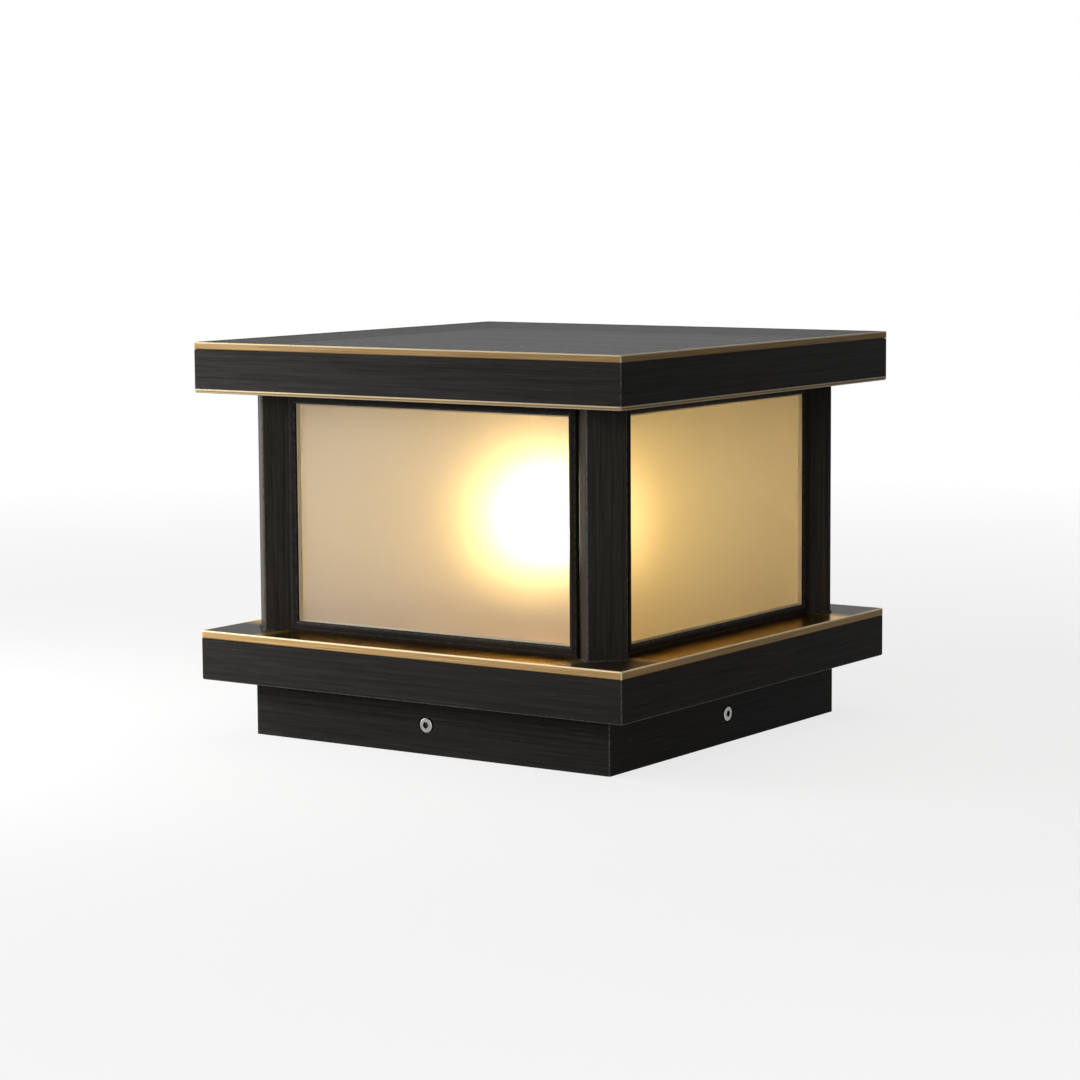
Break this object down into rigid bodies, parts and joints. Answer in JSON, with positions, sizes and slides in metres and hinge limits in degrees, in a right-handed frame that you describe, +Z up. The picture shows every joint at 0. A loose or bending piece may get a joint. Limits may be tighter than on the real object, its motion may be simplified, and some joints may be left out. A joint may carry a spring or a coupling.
{
  "type": "pillar light",
  "caption": "Square solar pillar light: dark metal cap and stepped base with brass edges, frosted glass panes between corner posts, and a globe bulb on a bolt-down base plate.",
  "frame": {"origin": "centre of the underside, on the top of the pillar", "axes": "+Z up; the front glazed side faces -Y and the right one +X"},
  "size_m": [0.25, 0.25, 0.1958],
  "materials": {
    "dark_bronze": "brushed black-bronze",
    "antique_brass": "brushed antique",
    "frosted_glass": "frosted",
    "stainless": "turned",
    "zinc_steel": "zinc plated",
    "black_rubber": "matt",
    "reflector_white": "satin white",
    "white_plastic": "matt",
    "contact_brass": "bright",
    "cap_nickel": "nickel",
    "bulb_diffuser": "opal",
    "led_board": "white mask",
    "battery_wrap": "heat-shrunk film",
    "black_plastic": "moulded",
    "button_plastic": "moulded",
    "circuit_board": "solder mask",
    "lead_sheath": "smooth sheath",
    "solar_cover": "textured cover glass",
    "solar_cell": "fine fingers",
    "backsheet": "matt white"
  },
  "bodies": {
    "base": {"mounting_plate": "zinc_steel", "lamp_bracket": "zinc_steel", "bracket_screws": "zinc_steel", "lamp_holder": "white_plastic", "holder_shell": "contact_brass", "holder_contact": "contact_brass", "holder_screws": "zinc_steel", "battery_cradle": "black_plastic", "battery_cells": "battery_wrap", "charge_board": "circuit_board", "board_spacers": "black_plastic", "solar_socket": "black_plastic", "battery_lead": "lead_sheath", "lamp_lead": "lead_sheath"},
    "lamp_body": {"plinth": "dark_bronze", "tray_shell": "dark_bronze", "cap_shell": "dark_bronze", "cap_soffit": "dark_bronze", "post_front_right": "dark_bronze", "post_back_right": "dark_bronze", "post_back_left": "dark_bronze", "post_front_left": "dark_bronze", "frame_front": "dark_bronze", "frame_right": "dark_bronze", "frame_back": "dark_bronze", "frame_left": "dark_bronze", "tray_trim": "antique_brass", "cap_trim_top": "antique_brass", "cap_trim_bottom": "antique_brass", "glass_front": "frosted_glass", "glass_right": "frosted_glass", "glass_back": "frosted_glass", "glass_left": "frosted_glass", "weld_nuts": "zinc_steel", "cap_screws": "zinc_steel", "reflector_screws": "zinc_steel", "pane_clips": "zinc_steel", "screw_washers": "black_rubber", "glazing_gaskets": "black_rubber", "solar_seal": "black_rubber", "reflector_plate": "reflector_white", "solar_plug": "black_plastic", "junction_box": "black_plastic", "switch_body": "black_plastic", "solar_lead": "lead_sheath", "switch_lead": "lead_sheath", "solar_glass": "solar_cover", "solar_cells": "solar_cell", "solar_backsheet": "backsheet"},
    "bulb": {"bulb_globe": "bulb_diffuser", "bulb_housing": "white_plastic", "bulb_cap": "cap_nickel", "bulb_contact": "contact_brass", "bulb_led_board": "led_board"},
    "button": {"power_button": "button_plastic"},
    "front_screw": {"side_screw_front": "stainless"},
    "right_screw": {"side_screw_right": "stainless"},
    "back_screw": {"side_screw_back": "stainless"},
    "left_screw": {"side_screw_left": "stainless"}
  },
  "joints": [
    {"name": "body_lift", "type": "slide", "parent": "base", "child": "lamp_body", "axis": [0, 0, 1], "range_m": [0, 0.15]},
    {"name": "bulb_turn", "type": "hinge", "parent": "base", "child": "bulb", "pos_m": [0, 0, 0.06], "axis": [0, 0, 1], "continuous": true},
    {"name": "front_screw_turn", "type": "hinge", "parent": "lamp_body", "child": "front_screw", "pos_m": [0, -0.1052, 0.0142], "axis": [0, -1, 0], "continuous": true},
    {"name": "right_screw_turn", "type": "hinge", "parent": "lamp_body", "child": "right_screw", "pos_m": [0.1052, 0, 0.0142], "axis": [1, 0, 0], "continuous": true},
    {"name": "back_screw_turn", "type": "hinge", "parent": "lamp_body", "child": "back_screw", "pos_m": [0, 0.1052, 0.0142], "axis": [0, 1, 0], "continuous": true},
    {"name": "left_screw_turn", "type": "hinge", "parent": "lamp_body", "child": "left_screw", "pos_m": [-0.1052, 0, 0.0142], "axis": [-1, 0, 0], "continuous": true},
    {"name": "button_press", "type": "slide", "parent": "lamp_body", "child": "button", "axis": [0, 0, 1], "range_m": [0, 0.002], "stiffness_N_per_m": 600}
  ]
}
